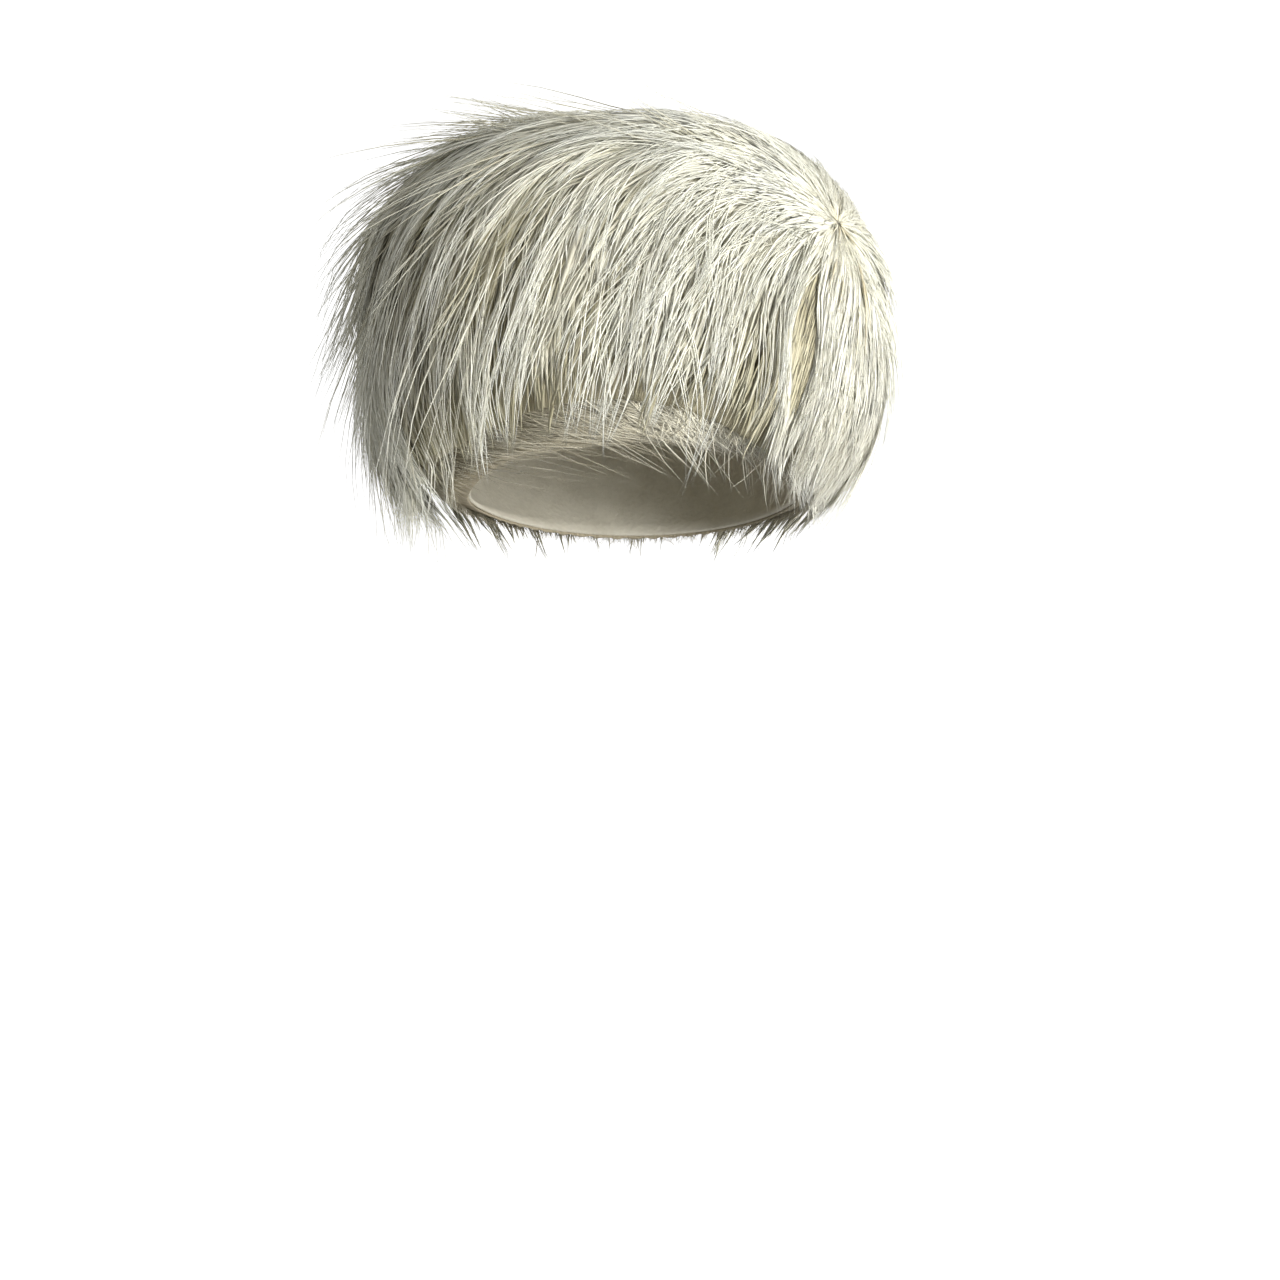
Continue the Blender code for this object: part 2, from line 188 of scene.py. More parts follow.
def bubble(elevation, halfWidth, top, bottom, fullness):
    # distance from the centre to a superellipse that is halfWidth wide, top high and bottom deep
    e = np.radians(elevation)
    power = np.where(e > 0, fullness, crown["underFullness"])
    height = np.where(e > 0, top, bottom)
    across = np.maximum(np.cos(e), 1e-9) / halfWidth
    return (across**power + (np.abs(np.sin(e)) / height) ** power) ** (-1 / power)


def headEdge(azimuth):
    # the opening's oval, whose edge rises at the forehead and dips at the nape by a squared sine
    a = np.radians(azimuth)
    radius = 1 / np.hypot(np.cos(a) / headOpening["halfWidth"], np.sin(a) / headOpening["halfDepth"])
    front = -np.sin(a)
    rise = np.where(front > 0, headOpening["foreheadRise"], headOpening["napeDrop"]) * front * np.abs(front)
    return radius, rise


def edgeElevation(azimuth):
    # elevation of the head edge as seen from the crown's centre
    radius, height = headEdge(azimuth)
    return np.degrees(np.arctan2(height - crown["centre"], radius))


def feltRadius(azimuth, elevation):
    # a bubble whose lower half is as deep as makes it pass through the head edge
    half = rowCurve(1, azimuth)
    radius, height = headEdge(azimuth)
    power = crown["underFullness"]
    depth = (crown["centre"] - height) / (1 - (radius / half) ** power) ** (1 / power)
    return bubble(elevation, half, crown["feltTop"], depth, crown["feltFullness"])


def coatRadius(azimuth, elevation):
    # the feathers' bubble with a bell curve of angle added for each swell
    half, depth = rowCurve(2, azimuth), rowCurve(3, azimuth)
    radius = bubble(elevation, half, crown["coatTop"], depth, crown["coatFullness"])
    way = direction(azimuth, elevation)
    for swellAzimuth, swellElevation, far, wide in crown["swells"]:
        middle = direction(np.float64(swellAzimuth), np.float64(swellElevation))
        angle = np.degrees(np.arccos(np.clip(way @ middle, -1, 1)))
        radius = radius + far * bell(angle, wide)
    return radius


def place(azimuth, elevation, radius):
    # points at this distance from the crown's middle
    return np.asarray(radius)[..., None] * direction(azimuth, elevation) + crownMiddle


class Flow:
    # The way the feathers lie: curves of third degree that leave the whorl on their heading, come down to
    # the hem from nearly straight above, and run on straight. They are held as unit directions by turn and by
    # share of the length on the coat.
    def __init__(self, farthest=1.35, columns=721, rows=300, overrun=1.5, samples=900):
        self.farthest, self.columns, self.rows = farthest, columns, rows
        self.turns = np.linspace(-180, 180, columns)
        azimuths = self.turns + whorl["azimuth"]
        centre = direction(whorl["azimuth"], whorl["elevation"])
        down = direction(whorl["azimuth"], whorl["elevation"] - 90)
        sideways = np.cross(centre, down)
        at, *lineColumns = np.array(whorl["lines"], float).T
        heading, above, lean = [np.interp(self.turns, at, column) for column in lineColumns]
        heading = np.radians(heading)[:, None]
        end = direction(azimuths, rowCurve(4, azimuths))
        reach = whorl["leave"] * np.arccos(np.clip(end @ centre, -1, 1))[:, None]
        near = np.cos(reach) * centre + np.sin(reach) * (np.cos(heading) * down + np.sin(heading) * sideways)
        over = direction(azimuths + lean, rowCurve(4, azimuths) + above)
        past = np.linspace(0, overrun, samples)[:, None]
        s = np.minimum(past, 1)
        line = (1 - s) ** 3 * centre + 3 * s * (1 - s) ** 2 * near[:, None]
        line = line + 3 * s**2 * (1 - s) * over[:, None]
        line = unit(line + s**3 * end[:, None] + 3 * (past - s) * (end - over)[:, None])
        azimuth, elevation = anglesOf(line)
        points = place(azimuth, elevation, coatRadius(azimuth, elevation))
        steps = np.linalg.norm(np.diff(points, axis=1), axis=-1)
        run = np.concatenate([np.zeros((columns, 1)), np.cumsum(steps, axis=1)], axis=1)
        self.lengths = np.array([np.interp(1, past[:, 0], r) for r in run])
        shares = np.linspace(0, farthest, rows)
        self.ways = np.empty((columns, rows, 3))
        for k in range(columns):
            for axis in range(3):
                self.ways[k, :, axis] = np.interp(shares * self.lengths[k], run[k], line[k, :, axis])
        self.ways = unit(self.ways)
        azimuth, elevation = anglesOf(self.ways)
        self.shares = shares
        self.points = place(azimuth, elevation, coatRadius(azimuth, elevation))
        across = np.gradient(self.points, axis=0)
        along = np.gradient(self.points, axis=1)
        self.areas = np.linalg.norm(np.cross(across, along), axis=-1)

    def way(self, turn, share):
        # straight interpolation between the table's four nearest entries
        x = (turn + 180) % 360 / 360 * (self.columns - 1)
        y = np.clip(share, 0, self.farthest) / self.farthest * (self.rows - 1)
        i, j = np.minimum(x.astype(int), self.columns - 2), np.minimum(y.astype(int), self.rows - 2)
        u, v = (x - i)[..., None], (y - j)[..., None]
        w = self.ways
        near = w[i, j] * (1 - v) + w[i, j + 1] * v
        far = w[i + 1, j] * (1 - v) + w[i + 1, j + 1] * v
        return unit(near * (1 - u) + far * u)

    def length(self, turn):
        # length of each line on the coat, from the whorl to the hem
        return np.interp((turn + 180) % 360 - 180, self.turns, self.lengths)

    def scatter(self, rng, density, turns, shares, thin):
        # places spread by area within these ranges, this many to a square centimetre, fewer at thin places
        middle = (turns[0] + turns[1]) / 2
        offset = np.abs((self.turns - middle + 180) % 360 - 180)
        inTurn = offset <= (turns[1] - turns[0]) / 2
        inShare = (self.shares >= shares[0]) & (self.shares <= shares[1])
        chance = self.areas * inTurn[:, None] * inShare[None, :]
        for atTurn, atShare, reach, gone in thin:
            i = int(np.abs(self.turns - atTurn).argmin())
            j = int(np.abs(self.shares - atShare).argmin())
            far = np.linalg.norm(self.points - self.points[i, j], axis=-1)
            chance = chance * (1 - gone * bell(far, reach))
        count = int(round(density * chance.sum() * 1e4))
        picked = rng.choice(chance.size, count, p=chance.ravel() / chance.sum())
        i, j = np.divmod(picked, self.rows)
        turn = self.turns[i] + rng.uniform(-0.5, 0.5, count) * 360 / (self.columns - 1)
        share = self.shares[j] + rng.uniform(-0.5, 0.5, count) * self.farthest / (self.rows - 1)
        return turn, np.clip(share, 0, self.farthest)


def foldDepth(turn, share):
    # a sum of narrow bell curves of the hem azimuth, which fade out towards the whorl, and the parting's own
    azimuth = turn + whorl["azimuth"]
    depth = np.zeros(np.broadcast(turn, share).shape)
    for at, deep, wide in folds["rows"]:
        off = (azimuth - at + 180) % 360 - 180
        depth = depth + deep * bell(off, wide)
    groove = parting["depth"] * bell(turn - partingTurn(share), parting["wide"])
    groove = groove * smooth((share - parting["from"]) / parting["ramp"])
    groove = groove * smooth((parting["until"] - share) / parting["rampEnd"])
    return (depth - folds["swell"]) * smooth((share - folds["from"]) / folds["ramp"]) + groove


def onCoat(flow, turn, share, hang):
    # the bubble less its folds and the whorl's dimple; past the hem, a straight drop by the share hang
    way = flow.way(turn, share)
    azimuth, elevation = anglesOf(way)
    radius = coatRadius(azimuth, elevation)
    edge = flow.way(turn, np.ones_like(share))
    edgeAzimuth, hem = anglesOf(edge)
    level = coatRadius(edgeAzimuth, hem) * np.cos(np.radians(hem))
    drop = level / np.maximum(np.cos(np.radians(elevation)), 0.3)  # bounded where a line nears the middle
    radius = np.where(share > 1, radius + hang * (drop - radius), radius)
    arc = share * flow.length(turn)
    radius = radius - foldDepth(turn, share) - whorl["dimple"] * bell(arc, whorl["dimpleReach"])
    return radius[..., None] * way + crownMiddle, way


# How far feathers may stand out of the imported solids' box: a share of each side and a length together
room = {"share": 0.03, "length": 0.010, "used": 0.94, "easeOver": 0.6}


def keepInRoom(points):
    # near the end of the used part of the margin, coordinates approach it exponentially and never pass it
    low, high = np.array(cadBox[0]), np.array(cadBox[1])
    margin = ((high - low) * room["share"] + room["length"]) * room["used"]
    ease = margin * room["easeOver"]
    past = np.maximum(points - (high + margin - ease), 0)
    points = points - past + ease * (1 - np.exp(-past / ease))
    past = np.maximum((low - margin + ease) - points, 0)
    return points + past - ease * (1 - np.exp(-past / ease))


def addMesh(name, vertices, faceSets, cornerUv=None):
    # faceSets: arrays of corner indices, one row for each face. cornerUv: a place for each corner, in order.
    mesh = bpy.data.meshes.new(name)
    corners = np.concatenate([f.ravel() for f in faceSets]).astype(np.int32)
    sizes = np.concatenate([np.full(len(f), f.shape[1], np.int32) for f in faceSets])
    mesh.vertices.add(len(vertices))
    mesh.vertices.foreach_set("co", np.asarray(vertices, np.float32).ravel())
    mesh.loops.add(len(corners))
    mesh.loops.foreach_set("vertex_index", corners)
    mesh.polygons.add(len(sizes))
    mesh.polygons.foreach_set("loop_start", np.concatenate([[0], np.cumsum(sizes)[:-1]]).astype(np.int32))
    mesh.polygons.foreach_set("use_smooth", np.ones(len(sizes), bool))
    mesh.update(calc_edges=True)
    if cornerUv is not None:
        layer = mesh.uv_layers.new(name="OFBake")
        layer.uv.foreach_set("vector", np.asarray(cornerUv, np.float32).ravel())
    piece = bpy.data.objects.new(name, mesh)
    bpy.context.scene.collection.objects.link(piece)
    return piece


def finishPiece(piece, finish, nodes):
    # material and body, with the imported solids that the piece stands for hidden
    piece.data.materials.append(finish)
    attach(piece, "root")
    if nodes:
        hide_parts(*nodes)
    triangles = sum(len(p.vertices) - 2 for p in piece.data.polygons)
    print(piece.name, triangles, "triangles")


strandMap = {"tones": (0.03, 0.97), "along": (0.005, 0.995)}  # how much of the map the strands take up


def strandMesh(name, paths, facing, halfWidth, thickness, tone, barbs):
    # Each strand is a closed tube of three sides, flat underneath, with a point at both ends. A ring is its
    # middle less and plus the half width to the sides, and plus the thickness times that outwards. paths:
    # strand, step, xyz. facing: the side that faces outwards. halfWidth: strand, step. The rest have one
    # value for each strand; barbs is half its width on the map.
    count, steps = paths.shape[:2]
    along = unit(np.gradient(paths, axis=1))
    side = unit(np.cross(along, facing))
    up = np.cross(side, along)
    w = halfWidth[:, 1:-1, None]
    high = w * thickness[:, None, None]
    middle = paths[:, 1:-1]
    beside = side[:, 1:-1] * w
    rings = np.stack([middle - beside, middle + up[:, 1:-1] * high, middle + beside], axis=2)
    ringCount = steps - 2
    perStrand = ringCount * 3 + 2
    vertices = np.concatenate([paths[:, :1], rings.reshape(count, -1, 3), paths[:, -1:]], axis=1)
    first = np.arange(count)[:, None, None] * perStrand
    ring = np.arange(ringCount - 1)[:, None] * 3 + 1
    k = np.arange(3)
    after = (k + 1) % 3
    quads = np.stack([ring + k, ring + after, ring + 3 + after, ring + 3 + k], axis=-1)
    quads = quads.reshape(1, -1, 4) + first
    start = np.stack([np.zeros(3, int), 1 + after, 1 + k], axis=-1)[None] + first
    last = perStrand - 1
    end = np.stack([np.full(3, last), last - 3 + k, last - 3 + after], axis=-1)[None] + first
    faces = [quads.reshape(-1, 4), start.reshape(-1, 3), end.reshape(-1, 3)]
    # its map: the strand's tone across, and its length from root to tip
    v = between(strandMap["along"], np.linspace(0, 1, steps))
    v = np.concatenate([v[:1], np.repeat(v[1:-1], 3), v[-1:]])
    u = np.concatenate([[0], np.tile([-1, 0, 1], ringCount), [0]]) * barbs[:, None]
    u = u + np.clip(tone, *strandMap["tones"])[:, None]
    uv = np.stack([u, np.broadcast_to(v, (count, perStrand))], axis=-1).reshape(-1, 2)
    return addMesh(name, vertices.reshape(-1, 3), faces, np.concatenate([uv[f.ravel()] for f in faces]))


taper = {"start": 0.15, "riseOver": 0.35, "end": 1.02, "power": 0.7}


def taperOf(t, blunt):
    # width of a strand along its length: a quarter sine from the root, and from blunt on a power of an S
    # curve down to a fine point
    rise = np.sin(np.pi / 2 * np.clip(taper["start"] + t / taper["riseOver"], 0, 1))
    return rise * (1 - smooth((t - blunt) / (taper["end"] - blunt))) ** taper["power"]


# What all strands share
strand = {
    "lengths": (0.55, 1.1),  # as shares of their bundle's
    "mostLean": 0.5, "mostBow": 1.0,
    "calmest": 0.2,  # how much of the lean is left beside the parting
    "settle": 0.03,  # length over which they settle beside the whorl
    "brightReach": 0.45,  # the share of a line that the whorl brightens
    "gatherPower": 1.5, "rootPower": 1.6,  # how late a bundle gathers, and how fast its roots come up
}


def strandLayer(flow, rng, make):
    # Strands in bundles, which have their tips on the coat and run back along the flow. A strand keeps to its
    # bundle but for its own offset, stagger, lean, bow and droop, and offsets shrink towards the tip by the
    # gather. A bundle's height sets its lift and its tone, so that the deepest are darkest: painted shade
    # under the higher strands. Painted shade also lowers the tones in folds and the parting's groove, and
    # above the hem at the front left; tones rise by a bell curve round the whorl. A straight strand leaves the
    # coat by the square of its length over twice the roundness, a flared or drooping one by the square of its
    # share.
    def drawn(key, count):
        # one value for each, at random from the range of this name
        return between(make[key], rng.random(count))

    turn, tipShare = flow.scatter(rng, make["bundles"], make["turns"], make["shares"], make["thin"])
    bundles, each, steps = len(turn), make["strands"], make["steps"]
    length = drawn("length", bundles)
    line = flow.length(turn)
    height = rng.random(bundles)
    # painted shade: the lower a bundle lies, the darker its tone, with random tone besides
    tone = between(make["tone"], height) + rng.normal(0, make["toneSpread"], bundles)
    # painted shade in the folds and in the parting's groove
    tone = tone - make["foldShade"] * np.maximum(foldDepth(turn, tipShare), 0)
    tone = tone + make["whorlBright"] * bell(tipShare, strand["brightReach"])
    # painted shade above the hem at the front left
    shaded = bell(turn - shade["turn"], shade["wide"]) * smooth((tipShare - shade["from"]) / shade["ramp"])
    tone = tone - make["shaded"] * shaded
    straight = drawn("straight", bundles)
    lift = between(make["lift"], height)
    gather = drawn("gather", bundles)
    width = drawn("bundleWidth", bundles)
    beside = np.abs(turn - partingTurn(tipShare))
    width = np.minimum(width, parting["crowd"] * (beside + parting["open"] / 2))
    calm = between((strand["calmest"], 1), smooth(beside / make["partingCalm"]))
    lean = np.radians(make["slant"] + rng.normal(0, make["lean"], bundles) * calm)
    flare = drawn("flare", bundles)
    droop = drawn("droop", bundles)

    n = bundles * each
    own = np.repeat(np.arange(bundles), each)
    line = line[own][:, None]
    across = rng.uniform(-1, 1, n)
    reach = length[own] * rng.uniform(*strand["lengths"], n)
    leaning = lean[own] + np.radians(rng.normal(0, make["strandLean"], n) * calm[own])
    slope = np.tan(np.clip(leaning, -strand["mostLean"], strand["mostLean"]))
    bow = np.clip(rng.normal(0, make["bow"], n), -strand["mostBow"], strand["mostBow"]) * calm[own]
    t = np.linspace(0, 1, steps)[None, :]
    tip = tipShare[own][:, None] + rng.normal(0, make["stagger"], n)[:, None] / line
    root = np.maximum(tip - reach[:, None] / line, rng.uniform(0, make["whorlGap"], (n, 1)) / line)
    tip = np.maximum(tip, root + make["least"] / line)
    share = root + (tip - root) * t
    long = (tip - root) * line
    hang = drawn("hang", n)[:, None]
    ownTurn = turn[own][:, None] + 0 * share
    ownTurn = ownTurn + make["opens"] * (openParting(ownTurn, share) - ownTurn)
    points, outward = onCoat(flow, ownTurn, share, hang)
    along = unit(np.gradient(points, axis=1))
    out = unit(outward - np.sum(outward * along, -1, keepdims=True) * along)
    side = np.cross(along, out)
    opened = 1 - gather[own][:, None] * t ** strand["gatherPower"]
    offset = width[own][:, None] * across[:, None] * opened
    offset = offset + (slope[:, None] * (t - 0.5) + bow[:, None] * (t**2 - t)) * long
    offset = offset * smooth(share * line / strand["settle"])
    buried = make["rootDepth"] * smooth(root * line / strand["settle"])
    rise = (lift[own] + rng.normal(0, make["liftJitter"], n))[:, None] * t
    rise = rise - buried * (1 - t) ** strand["rootPower"]
    rise = rise + straight[own][:, None] * (long * t) ** 2 / (2 * make["roundness"])
    rise = rise + flare[own][:, None] * long * t**2
    falling = np.array([0, 0, -1.0]) + out * out[..., 2:3]
    fall = droop[own][:, None] * long * t**2
    paths = points + side * offset[..., None] + out * rise[..., None] + falling * fall[..., None]
    halfWidth = drawn("halfWidth", n)[:, None] * taperOf(t, make["blunt"])
    facing = unit(out + side * rng.normal(0, make["twist"], n)[:, None, None])
    thickness = np.full(n, make["thickness"])
    tones = tone[own] + rng.normal(0, make["toneJitter"], n)
    return paths, facing, halfWidth, thickness, tones, np.full(n, make["barbs"])


def featherPiece(flow, name, finish, nodes, seed, layers):
    # one piece from the strands of several layers, kept inside the room
    rng = np.random.default_rng(seed)
    made = [strandLayer(flow, rng, layer) for layer in layers]
    paths, facing, halfWidth, thickness, tones, barbs = [np.concatenate(parts) for parts in zip(*made)]
    piece = strandMesh(name, keepInRoom(paths), facing, halfWidth, thickness, tones, barbs)
    finishPiece(piece, finish, nodes)


class Value:
    # a socket whose operators add Math nodes, so that sums and products of maps read as such
    def __init__(self, graph, socket):
        self.graph, self.socket = graph, socket

    def math(self, operation, other):
        # a Math node with this socket first and the other value second
        return self.graph.node("ShaderNodeMath", {0: self, 1: other}, operation=operation)

    def __add__(self, other):
        return self.math("ADD", other)

    def __mul__(self, other):
        return self.math("MULTIPLY", other)

    def __sub__(self, other):
        return self.math("SUBTRACT", other)


class Graph:
    # the nodes of one material or world, around the shader that it starts with
    def __init__(self, owner, shader="Principled BSDF"):
        owner.use_nodes = True
        self.owner, self.tree = owner, owner.node_tree
        self.shader = self.tree.nodes[shader]

    def put(self, socket, value):
        # links a value to a socket, or sets the socket to a number or colour
        if isinstance(value, Value):
            self.tree.links.new(value.socket, socket)
        else:
            socket.default_value = value

    def node(self, kind, sockets=(), output=0, **settings):
        # a node of this kind with its settings, and with its sockets by name or number
        made = self.tree.nodes.new(kind)
        for key, value in settings.items():
            setattr(made, key, value)
        for key, value in dict(sockets).items():
            self.put(made.inputs[key], value)
        return Value(self, made.outputs[output])

    def mix(self, mask, first, second):
        # two colours blended by a mask: sockets 0, 6 and 7 of a Mix node are its factor and its colours
        return self.node("ShaderNodeMix", {0: mask, 6: first, 7: second}, output=2, data_type="RGBA")

    def finish(self, sockets):
        # the shader's own sockets by name
        for key, value in sockets.items():
            self.put(self.shader.inputs[key], value)
        return self.owner


def colour(red, green, blue):
    # an opaque colour, in linear light
    return (red, green, blue, 1.0)


def streaksOn(g, uv, look):
    # flat noise, stretched down the map by its scale
    stretched = g.node("ShaderNodeMapping", {"Vector": uv, "Scale": look["streaks"]})
    sockets = {"Vector": stretched, "Scale": 1.0, "Detail": look["detail"]}
    return g.node("ShaderNodeTexNoise", sockets, noise_dimensions="2D")


def featherFinish(name, look):
    # Colour runs from root to tip, and from shaded to bright with the strand's tone, which holds painted shade
    # as well as its own random tone. Fine streaks run along it: noise stretched down the map.
    g = Graph(bpy.data.materials.new(name))
    uv = g.node("ShaderNodeUVMap", uv_map="OFBake")
    tone = g.node("ShaderNodeSeparateXYZ", {0: uv})
    along = g.node("ShaderNodeSeparateXYZ", {0: uv}, output=1)
    streaks = streaksOn(g, uv, look)
    dark = g.mix(along, look["rootDark"], look["tipDark"])
    bright = g.mix(along, look["rootBright"], look["tipBright"])
    return g.finish({
        "Base Color": g.mix(tone + (streaks - 0.5) * look["streaked"], dark, bright),
        "Roughness": look["roughness"], "Specular IOR Level": look["specular"],
        "Sheen Weight": look["sheen"], "Sheen Roughness": look["sheenRoughness"],
    })


featherLook = {
    "rootDark": colour(0.32, 0.285, 0.165),
    "tipDark": colour(0.45, 0.420, 0.280),
    "rootBright": colour(0.82, 0.795, 0.65),
    "tipBright": colour(0.95, 0.96, 0.885),
    "streaks": (400.0, 3.0, 1.0), "detail": 2.0,  # how fine the streaks are across the map and along it
    "streaked": 0.50,  # how far they change the tone
    "roughness": 0.42,
    "specular": 0.45,
    "sheen": 0.10,
    "sheenRoughness": 0.4,
}
panelLook = dict(
    featherLook,
    rootDark=colour(0.46, 0.415, 0.26), tipDark=colour(0.54, 0.505, 0.35),
    rootBright=colour(0.88, 0.85, 0.69), tipBright=colour(0.91, 0.91, 0.83),
)
underLook = dict(
    featherLook,
    rootDark=colour(0.20, 0.165, 0.095), tipDark=colour(0.34, 0.295, 0.19),
    rootBright=colour(0.72, 0.66, 0.49), tipBright=colour(0.93, 0.90, 0.75),
)


def mattFinish(g, look, pattern, relief):
    # between two colours by a pattern, and uneven by another
    sockets = {"Height": relief, "Strength": look["bump"], "Distance": look["bumpDepth"]}
    return g.finish({
        "Base Color": g.mix(pattern, look["dark"], look["bright"]), "Roughness": look["roughness"],
        "Normal": g.node("ShaderNodeBump", sockets),
    })


def downFinish(name, look):
    # soft down beneath the strands: fine streaks along the flow, on the piece's own map
    g = Graph(bpy.data.materials.new(name))
    uv = g.node("ShaderNodeUVMap", uv_map="OFBake")
    streaks = streaksOn(g, uv, look)
    return mattFinish(g, look, streaks, streaks)


def feltFinish(name, look):
    # felt: fine fibre noise and soft clouds in shares that make up 1, on the object's own coordinates
    g = Graph(bpy.data.materials.new(name))
    at = g.node("ShaderNodeTexCoord", output="Object")
    fibres = g.node("ShaderNodeTexNoise", {"Vector": at, "Scale": look["fibreScale"], "Detail": 6.0})
    clouds = g.node("ShaderNodeTexNoise", {"Vector": at, "Scale": look["cloudScale"], "Detail": 2.0})
    cloudy = look["cloudy"]
    return mattFinish(g, look, clouds * cloudy + fibres * (1 - cloudy), fibres)


def ringFaces(rings, closed=False):
    # faces from each ring to the next, and from the last to the first when closed, and each corner's place on
    # the map: its share of the way round and the number of its ring
    rows, count = rings.shape[:2]
    i = np.arange(rows if closed else rows - 1)[:, None]
    j = np.arange(count)[None, :]
    below, after = (i + 1) % rows, (j + 1) % count
    quads = np.stack([i * count + j, below * count + j, below * count + after, i * count + after], -1)
    u = np.stack([j, j, j + 1, j + 1], -1) / count + 0 * i[..., None]
    v = np.stack([i, i + 1, i + 1, i], -1) + 0 * j[..., None]
    return quads.reshape(-1, 4), np.stack([u, v], -1).reshape(-1, 2)


def ringStack(rings, top, bottom):
    # vertices, faces and map of a closed form made of rings, from a point at its start to one at its end
    rows, count = rings.shape[:2]
    quads, places = ringFaces(rings)
    first, last, k = rows * count, (rows - 1) * count, np.arange(count)
    after = (k + 1) % count
    start = np.stack([0 * k + first, k, after], -1)
    end = np.stack([0 * k + first + 1, last + after, last + k], -1)
    capU = np.stack([[k + 0.5, k, k + 1], [k + 0.5, k + 1, k]]) / count
    capV = np.array([[-1, 0, 0], [rows, rows - 1, rows - 1]])[..., None] + 0 * capU
    caps = np.stack([capU, capV], -1).transpose(0, 2, 1, 3)
    places = np.concatenate([places, caps.reshape(-1, 2)])
    places[:, 1] = (places[:, 1] + 1) / (rows + 1)
    return np.concatenate([rings.reshape(-1, 3), [top, bottom]]), [quads, start, end], places


print("stage: form and flow")
flow = Flow()

print("stage: felt base")
feltBase = {"around": 132, "down": 36, "wall": 0.002}


def feltShell(make, finish, nodes):
    # one closed shell: the bubble in even steps of elevation from its top to the head edge, round that edge,
    # and back up one wall further in
    azimuths = np.arange(make["around"]) * 360 / make["around"]
    shares = np.linspace(0, 1, make["down"] + 1)[1:, None]
    elevation = 90 + (edgeElevation(azimuths) - 90) * shares
    wide = np.broadcast_to(azimuths, elevation.shape)
    outer = place(wide, elevation, feltRadius(wide, elevation))
    inner = place(wide, elevation, feltRadius(wide, elevation) - make["wall"])
    rounded = (outer[-1] + inner[-1]) / 2 - [0, 0, make["wall"] / 3]
    rings = np.concatenate([outer, rounded[None], inner[::-1]])
    top = crownMiddle + [0, 0, crown["feltTop"]]
    vertices, faces = ringStack(rings, top, top - [0, 0, make["wall"]])[:2]
    finishPiece(addMesh("felt_base", vertices, faces), finish, nodes)


feltShell(feltBase, feltFinish("pale felt", {
    "dark": colour(0.50, 0.46, 0.35), "bright": colour(0.86, 0.82, 0.69),
    "fibreScale": 420.0, "cloudScale": 70.0, "cloudy": 0.6, "bump": 0.8, "bumpDepth": 0.001,
    "roughness": 0.92,
}), (
    "felt_crown", "felt_side_right", "felt_side_back", "felt_side_left", "felt_side_front",
    "felt_edge_right", "felt_edge_back", "felt_edge_left", "felt_edge_front",
))

print("stage: down bed")
downBed = {
    "around": 240, "along": 52, "end": 0.99,  # faces round and along, and the share of a line where it ends
    "depth": 0.0062, "thickness": 0.003,
    "hemDepth": 0.0055, "hemFrom": 0.82, "hemRamp": 0.17,  # how much deeper it lies towards the hem
    "clear": 0.0012,  # the least room over the felt
    "ridge": 0.0014, "waves": (31, 47, 67, 89), "ridgeRamp": 0.25,
}


def bedShell(make, finish):
    # The coat's form sunk by depth and closed by a second skin under it. Its ridges along the flow are a sum
    # of sines of the turn whose phases wander with the share.
    rng = np.random.default_rng(3)
    turns = np.arange(make["around"]) * 360 / make["around"] - 180
    shares = np.linspace(0, make["end"], make["along"] + 1)[1:]
    turn, share = np.meshgrid(turns, shares)
    ridges = np.zeros(turn.shape)
    for waves in make["waves"]:
        phase, wander = rng.uniform(0, 6, 2)
        ridges += np.sin(np.radians(turn) * waves + phase + 3 * np.sin(share * 4 + wander))
    ridges *= make["ridge"] / len(make["waves"]) * smooth(share / make["ridgeRamp"])

    def skin(turn, share, above):
        # the coat sunk by its depth, less under the parting, no nearer to the felt than clear
        points, way = onCoat(flow, turn, share, 0.0)
        depth = make["depth"] + make["hemDepth"] * smooth((share - make["hemFrom"]) / make["hemRamp"])
        depth = depth - parting["fill"] * bell(turn - partingTurn(share), parting["fillWide"])
        radius = np.linalg.norm(points - crownMiddle, axis=-1) - depth
        azimuth, elevation = anglesOf(way)
        radius = np.maximum(radius, feltRadius(azimuth, elevation) + make["clear"] + make["thickness"])
        return place(azimuth, elevation, radius + above)

    outer = skin(turn, share, ridges)
    inner = skin(turn, share, -make["thickness"])
    pole = np.zeros(1)
    top, bottom = skin(pole, pole, 0.0)[0], skin(pole, pole, -make["thickness"])[0]
    piece = addMesh("down_bed", *ringStack(np.concatenate([outer, inner[::-1]]), top, bottom))
    finishPiece(piece, finish, ())


downLook = {
    "dark": colour(0.37, 0.325, 0.20), "bright": colour(0.56, 0.51, 0.35),
    "streaks": (700.0, 10.0, 1.0), "detail": 4.0, "bump": 0.8, "bumpDepth": 0.002, "roughness": 0.85,
}
bedShell(downBed, downFinish("soft down", downLook))

print("stage: long feathers")
